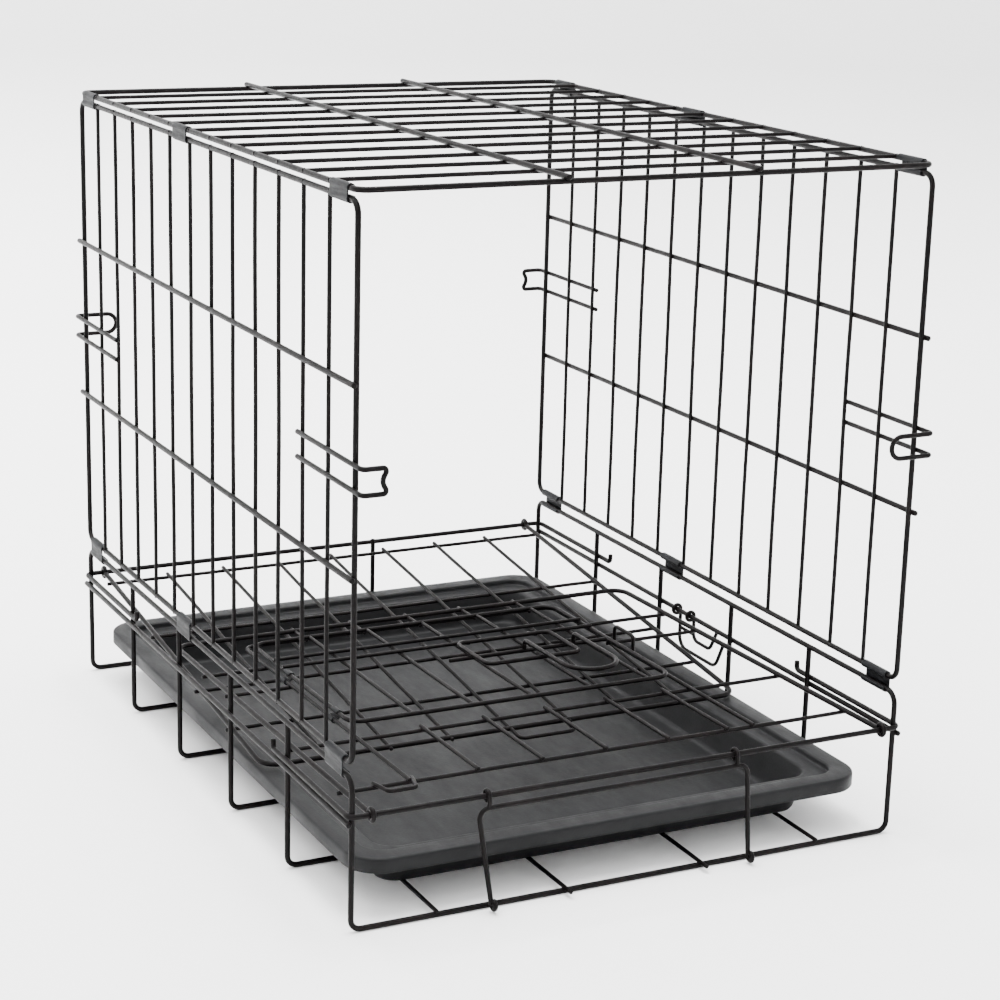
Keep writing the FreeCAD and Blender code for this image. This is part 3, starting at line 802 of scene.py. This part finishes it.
def bolt_guide(build, strip_v, strip_up):
    """The flat loop that the bolt slides under, on two legs from the door's lower strip."""
    left, right, low, high = -9.0, 58.0, 178.0, 224.0
    up, leg_in, leg_under = GUIDE_UP, 9.0, 0.6
    foot_v, foot_up = strip_v - 1.2, strip_up + 0.8
    loop = [V((left, low, up)), V((right, low, up)), V((right, high, up)), V((left, high, up))]
    tube(build, bent_path(loop, 5.0, True), CATCH_R, True)
    for x in (left + leg_in, right - leg_in):
        straight(build, V((x, high, up - leg_under)), V((x, foot_v, foot_up)), CATCH_R)
        weld(build, V((x, high, up - leg_under / 2)), BEAD_GUIDE, X_AXIS)


def door():
    """The door with its bolt guide, one welded piece."""
    build = Build()
    left, right, low, high, up = DOOR_LEFT, DOOR_RIGHT, DOOR_LOW, DOOR_HIGH, DOOR_UP
    border = [V((left, low, up)), V((right, low, up)), V((right, high, up)), V((left, high, up))]
    tube(build, bent_path(border, 10.0, True), CATCH_R, True)
    bars = (-83.0, -42.0, -1.5, 39.6, 80.8)
    bar_up, joints = up - 0.1, (0.655, 0.75)
    for i, x in enumerate(bars):
        start, end = V((x, low, bar_up)), V((x, high, bar_up))
        straight(build, start, end, MESH_R, X_AXIS, joints, 80 + i)
        for v in (low, high):
            weld(build, V((x, v, up)), BEAD_MESH, Y_AXIS)
    strips, past = (237.5, 253.0), 0.8
    strip_up = up + BARE_CATCH_R + BARE_MESH_R - WELD
    for v in strips:
        straight(build, V((left - past, v, strip_up)), V((right + past, v, strip_up)), MESH_R)
        for x in (left, *bars, right):
            weld(build, V((x, v, strip_up - MESH_BEAD)), BEAD_MESH, Z_AXIS)
    bolt_guide(build, strips[0], strip_up)
    return build


def door_hinges():
    """Two short clips that turn on the doorway's left wire and grip the door's border."""
    build = Build()
    length = 9.0
    for v in (152.0, 229.0):
        turning, gripped = V((OPEN_LEFT, v, 0)), V((DOOR_LEFT, v, DOOR_UP))
        clip_shell(build, turning, gripped, BARE_MESH_R + CLIP_GAP, CATCH_R, length)
    return build


def bolt():
    """The sliding bolt, with a bent-wire handle that reaches over the guide."""
    build = Build()
    left, right, tail, tip = 30.0, 66.0, -24.0, 91.0
    v, grip_v = BOLT_V, 133.0
    shank = [V((tail, v, BOLT_UP)), V((left, v, BOLT_UP)), V((tip, v, BOLT_UP))]
    tube(build, shank, CATCH_R)
    grip = [
        V((left, v, BOLT_UP)), V((left, v, HANDLE_UP)), V((left, grip_v, HANDLE_UP)),
        V((right, grip_v, HANDLE_UP)), V((right, v, HANDLE_UP)), V((right, v, BOLT_UP)),
    ]
    rise_bend, end_bend = 3.0, (right - left) / 2 - 0.5
    tube(build, bent_path(grip, [0, rise_bend, end_bend, end_bend, rise_bend, 0]), CATCH_R)
    return build


def rear_panel():
    """The rear panel with the tongue on its free edge, one welded piece."""
    build = Build()
    panel_border(build, REAR_LEN)
    bays = 8
    bars = [-PANEL_X + i * 2 * PANEL_X / bays for i in range(1, bays)]
    for i, v in enumerate(REAR_RUNGS):
        rung(build, -PANEL_REACH, PANEL_REACH, v, 90 + i, (-PANEL_X, *bars, PANEL_X))
    low, high, up = REAR_RUNGS[0] - MESH_R - NUB, REAR_LEN + FRAME_R + NUB, -0.2
    welds = [(v - low) / (high - low) for v in (*REAR_RUNGS, REAR_LEN)]
    for i, x in enumerate(bars):
        straight(build, V((x, low, up)), V((x, high, up)), MESH_R, X_AXIS, welds, 100 + i)
        weld(build, V((x, REAR_LEN, up)), BEAD_END, Y_AXIS)
    left, right, tongue_out = -39.0, 0.0, 15.0
    tip = REAR_LEN + tongue_out
    tongue = [V((left, REAR_LEN, 0)), V((left, tip, 0)), V((right, tip, 0)), V((right, REAR_LEN, 0))]
    tube(build, bent_path(tongue, 4.0), MESH_R)
    return build


# ---------------------------------------------------------------------------------------------------
# Small moving wires
# ---------------------------------------------------------------------------------------------------

HOOK_R = BARE_R + EYE_GAP + BARE_MESH_R              # thin wire bent round a frame wire


def gate():
    """The tray gate: a wide staple with curled feet, hung from the front hinge rail by two hooks."""
    build = Build()
    y, top, low, curl = -HINGE_Y - HOOK_R, 62.8, 2.2, 4.8
    foot_left, foot_right, top_left, top_right = -94.0, 75.0, -104.0, 71.0
    path = [
        V((foot_left, y - curl / 2, low + curl)), V((foot_left, y - curl, low + curl)),
        V((foot_left, y - curl, low)), V((foot_left, y, low)),
        V((top_left, y, top)), V((top_right, y, top)),
        V((foot_right, y, low)), V((foot_right, y - curl, low)),
        V((foot_right, y - curl, low + curl)), V((foot_right, y - curl / 2, low + curl)),
    ]
    foot, corner = [curl / 2 - HAIR] * 3, 6
    tube(build, bent_path(path, [0, *foot, corner, corner, *foot, 0]), CATCH_R)
    over, under = FRONT_Z + HOOK_R, FRONT_Z - HOOK_R
    behind, tip, bead_over = y + 2 * HOOK_R, y + 2.4, 1.2
    for x in (-97.0, 64.0):
        hook = [
            V((x, y, top)), V((x, y, over)), V((x, behind, over)),
            V((x, behind, under)), V((x, tip, under)),
        ]
        tube(build, bent_path(hook, HOOK_R - HAIR), MESH_R)
        weld(build, V((x, y, top + bead_over)), BEAD_MESH, Y_AXIS)
    return build


def carry_hook():
    """Two nested hooks joined by a bar, which turn on the right middle rail by an eye each."""
    build = Build()
    rail_x = HALF_W + OUT
    x = rail_x + HOOK_R
    outer_y, outer_low, inner_y, inner_low, bar_z = 27.0, 37.0, 9.0, 47.0, 51.0
    outer = [V((x, outer_y, MID_Z)), V((x, outer_y, outer_low)), V((x, -21, outer_low)), V((x, -31, 57))]
    tube(build, bent_path(outer, 9.0), MESH_R)
    inner = [V((x, inner_y, MID_Z)), V((x, inner_y, inner_low)), V((x, -13, inner_low)), V((x, -21, 61))]
    tube(build, bent_path(inner, 6.0), MESH_R)
    straight(build, V((x, inner_y, bar_z)), V((x, outer_y, bar_z)), MESH_R)
    for y in (outer_y, inner_y):
        centre = V((rail_x, y, MID_Z))
        ring = [centre + V((HOOK_R * math.cos(t), 0, HOOK_R * math.sin(t))) for t in round_angles(32)]
        tube(build, ring, MESH_R, True)
    return build


# ---------------------------------------------------------------------------------------------------
# Tray
# ---------------------------------------------------------------------------------------------------

def tray():
    """The moulded tray as one stack of rounded rectangles: out underneath, over the rim, into the pan."""
    low, high = mm_box("tray")
    bottom, top, skin = low.z, high.z, 1.8
    ledge, floor = top - 4.0, bottom + skin
    lip_under, ledge_under = top - skin, ledge - skin

    def ring(inset, z, corner):
        x = high.x - inset - corner
        y0, y1 = low.y + inset + corner, high.y - inset - corner
        points = []
        steps = 12
        for cx, cy, start in ((x, y0, -90), (x, y1, 0), (-x, y1, 90), (-x, y0, 180)):
            for k in range(steps + 1):
                t = math.radians(start + 90 * k / steps)
                points.append(V((cx + corner * math.cos(t), cy + corner * math.sin(t), z)))
        return points

    # Each step is the inset from the rim's edge, the height and the corner radius
    under = [
        (150.0, bottom, 4.0), (80.0, bottom, 8.0), (33.0, bottom, 12.0), (30.6, bottom, 12.0),
        (29.0, bottom + 0.6, 12.2), (28.0, bottom + 2.2, 12.6), (22.4, ledge_under - 0.6, 15.6),
        (21.6, ledge_under, 15.8), (13.6, ledge_under, 14.4), (12.4, ledge_under, 14.2),
        (11.5, ledge_under + 0.9, 14.0), (11.3, lip_under - 0.5, 14.0), (10.8, lip_under, 14.4),
        (2.8, lip_under, 19.2), (2.0, lip_under - 0.4, 20.0), (1.8, lip_under - 1.2, 20.2),
    ]
    lip = [
        (1.8, top - 9.0, 20.2), (1.3, top - 9.0, 20.7), (0.5, top - 8.9, 21.5), (0.0, top - 8.3, 22.0),
        (0.0, top - 1.6, 22.0), (0.25, top - 0.75, 21.75), (0.8, top - 0.2, 21.2), (1.6, top, 20.4),
        (6.0, top, 17.5), (11.6, top, 14.4), (12.4, top - 0.2, 13.8), (12.9, top - 0.8, 13.4),
        (13.1, top - 1.6, 13.2),
    ]
    step = [
        (13.3, ledge + 1.3, 13.0), (13.6, ledge + 0.5, 12.8), (14.3, ledge + 0.1, 12.6),
        (15.2, ledge, 12.6), (22.2, ledge, 15.4), (23.2, ledge - 0.2, 15.2),
        (23.9, ledge - 0.9, 15.0), (24.3, ledge - 1.8, 15.0),
    ]
    pan = [
        (27.0, (ledge + floor) / 2, 13.0), (29.4, floor + 3.0, 11.6), (30.1, floor + 1.3, 11.2),
        (31.4, floor + 0.35, 11.0), (33.2, floor, 11.0), (44.0, floor, 11.0), (80.0, floor, 8.0),
        (150.0, floor, 4.0),
    ]
    build = Build()
    build.ring_strip([ring(*place) for place in (*under, *lip, *step, *pan)])
    return build


# ---------------------------------------------------------------------------------------------------
# Pieces
# ---------------------------------------------------------------------------------------------------

finish(
    base_basket().make("base_basket"), "base", "coated_wire",
    "base_floor", "base_left_wall", "base_right_wall", "base_left_rail", "base_right_rail",
    "front_hinge_rail", "rear_hinge_rail",
)
clips_base_left = hinge_clips(-1, SIDE_BOTTOM, BASE_TOP).make("clips_base_left")
finish(clips_base_left, "base", "clip_steel", "base_left_clips")
clips_base_right = hinge_clips(1, SIDE_BOTTOM, BASE_TOP).make("clips_base_right")
finish(clips_base_right, "base", "clip_steel", "base_right_clips")
clips_roof_left = hinge_clips(-1, SIDE_TOP, ROOF_Z).make("clips_roof_left")
finish(clips_roof_left, "roof", "clip_steel", "roof_left_clips")
clips_roof_right = hinge_clips(1, SIDE_TOP, ROOF_Z).make("clips_roof_right")
finish(clips_roof_right, "roof", "clip_steel", "roof_right_clips")

half_turn = Matrix.Rotation(math.pi, 4, "Z")
finish(side_panel().make("side_left"), "left_side", "coated_wire", "left_side_mesh")
finish(side_panel().make("side_right", half_turn), "right_side", "coated_wire", "right_side_mesh")
finish(ear_catch().make("catch_front_left"), "left_side", "coated_wire", "left_front_catch")
finish(loop_catch().make("catch_rear_left"), "left_side", "coated_wire", "left_rear_catch")
finish(ear_catch().make("catch_rear_right", half_turn), "right_side", "coated_wire", "right_rear_catch")
finish(loop_catch().make("catch_front_right", half_turn), "right_side", "coated_wire", "right_front_catch")
finish(roof_panel().make("roof"), "roof", "coated_wire", "roof_mesh")

finish(
    front_panel().make("panel_front", on_front), "front_panel", "coated_wire",
    "front_panel_mesh", "front_panel_hook", "bolt_keeper",
)
finish(door().make("door_wire", on_front), "door", "coated_wire", "door_mesh", "bolt_guide")
finish(door_hinges().make("door_hinges", on_front), "door", "clip_steel", "door_clips")
finish(bolt().make("bolt_wire", on_front), "bolt", "coated_wire", "slide_bolt")
finish(rear_panel().make("panel_rear", on_rear), "rear_panel", "coated_wire", "rear_panel_mesh")
finish(gate().make("gate_wire"), "gate", "coated_wire", "tray_gate")
finish(carry_hook().make("carry_wire"), "carry", "coated_wire", "carry_hook")
finish(tray().make("tray_shell"), "tray", "tray_plastic", "tray")


# ---------------------------------------------------------------------------------------------------
# Floor, light and camera
# ---------------------------------------------------------------------------------------------------

def backdrop():
    """A round pale sweep: a flat floor that curves up into a low wall all the way round."""
    disc, middle, flat, curve, wall, curve_steps = 800.0, 2500.0, 5000.0, 1500.0, 4500.0, 10
    angles = round_angles(72)
    profile = [(disc, 0.0), (middle, 0.0), (flat, 0.0)]
    for k in range(1, curve_steps + 1):
        t = math.radians(90 * k / curve_steps)
        profile.append((flat + curve * math.sin(t), curve * (1 - math.cos(t))))
    profile.append((flat + curve, wall))
    build = Build()
    rings = []
    for radius, z in reversed(profile):
        rings.append([V((radius * math.cos(t), radius * math.sin(t), z - COAT)) for t in angles])
    build.ring_strip(rings, caps=False)
    build.faces.append(tuple(range(len(build.verts) - len(angles), len(build.verts))))
    sweep = build.make("backdrop")
    material, shader = new_material("studio_white")
    shade = noise_node(material, 1.5, 2.0, 0.5)
    greys = ((0.0, (0.90, 0.90, 0.90)), (1.0, (0.94, 0.94, 0.94)))
    colour = ramp_node(material, shade.outputs["Fac"], greys)
    link(material, colour.outputs["Color"], shader.inputs["Base Color"])
    shader.inputs["Roughness"].default_value = 0.55
    sweep.data.materials.append(material)


def area_light(name, place, target, size, power):
    data = bpy.data.lights.new(name, "AREA")
    data.shape = "RECTANGLE"
    data.size, data.size_y = size
    data.energy = power
    light = bpy.data.objects.new(name, data)
    light.location = place
    aim = Vector(target) - Vector(place)
    light.rotation_euler = aim.to_track_quat("-Z", "Y").to_euler()
    bpy.context.collection.objects.link(light)


def world_light(level, overhead):
    """An even pale room, brighter overhead than round the sides."""
    world = bpy.data.worlds.new("studio")
    world.use_nodes = True
    tree = world.node_tree
    background = tree.nodes["Background"]
    background.inputs["Color"].default_value = (1.0, 1.0, 1.0, 1.0)
    coords = tree.nodes.new("ShaderNodeTexCoord")
    split = tree.nodes.new("ShaderNodeSeparateXYZ")
    height = tree.nodes.new("ShaderNodeMapRange")
    height.inputs["From Min"].default_value = 0.0
    height.inputs["From Max"].default_value = 0.9
    height.inputs["To Min"].default_value = level
    height.inputs["To Max"].default_value = overhead
    tree.links.new(coords.outputs["Generated"], split.inputs["Vector"])
    tree.links.new(split.outputs["Z"], height.inputs["Value"])
    tree.links.new(height.outputs["Result"], background.inputs["Strength"])
    bpy.context.scene.world = world


def camera():
    """The photograph's view, with its slight tilt to one side."""
    azimuth, elevation, roll = math.radians(-26.95), math.radians(15.43), math.radians(1.55)
    middle, aim_right, aim_down, distance = V((0, 0, 205)), 22.84, 34.9, 1557.5
    focal_ratio = 2.4344   # focal length over the sensor's width
    level = math.cos(elevation)
    away = V((math.sin(azimuth) * level, -math.cos(azimuth) * level, math.sin(elevation)))
    right = (-away).cross(Z_AXIS).normalized()
    up = right.cross(-away)
    x_axis = right * math.cos(roll) + up * math.sin(roll)
    y_axis = up * math.cos(roll) - right * math.sin(roll)
    place = (middle + right * aim_right - up * aim_down + away * distance) * MM
    data = bpy.data.cameras.new("photo_view")
    data.sensor_width = 36.0
    data.lens = data.sensor_width * focal_ratio
    data.clip_end = 60.0
    view = bpy.data.objects.new("photo_view", data)
    turn = Matrix((x_axis, y_axis, away)).transposed().to_4x4()
    view.matrix_world = Matrix.Translation(place) @ turn
    bpy.context.collection.objects.link(view)
    bpy.context.scene.camera = view


backdrop()
world_light(0.6, 2.6)
area_light("key_left", (-2.0, -1.2, 2.8), (0, 0, 0.2), (1.2, 1.2), 42)
area_light("fill_right", (2.4, -1.8, 1.6), (0, 0, 0.2), (1.0, 1.2), 8)
area_light("top", (0.2, 0.4, 3.0), (0, 0, 0.0), (1.8, 1.8), 220)
area_light("backdrop_wash", (-1.3, 1.6, 3.4), (-2.0, 4.4, 0.6), (2.6, 1.2), 520)
camera()
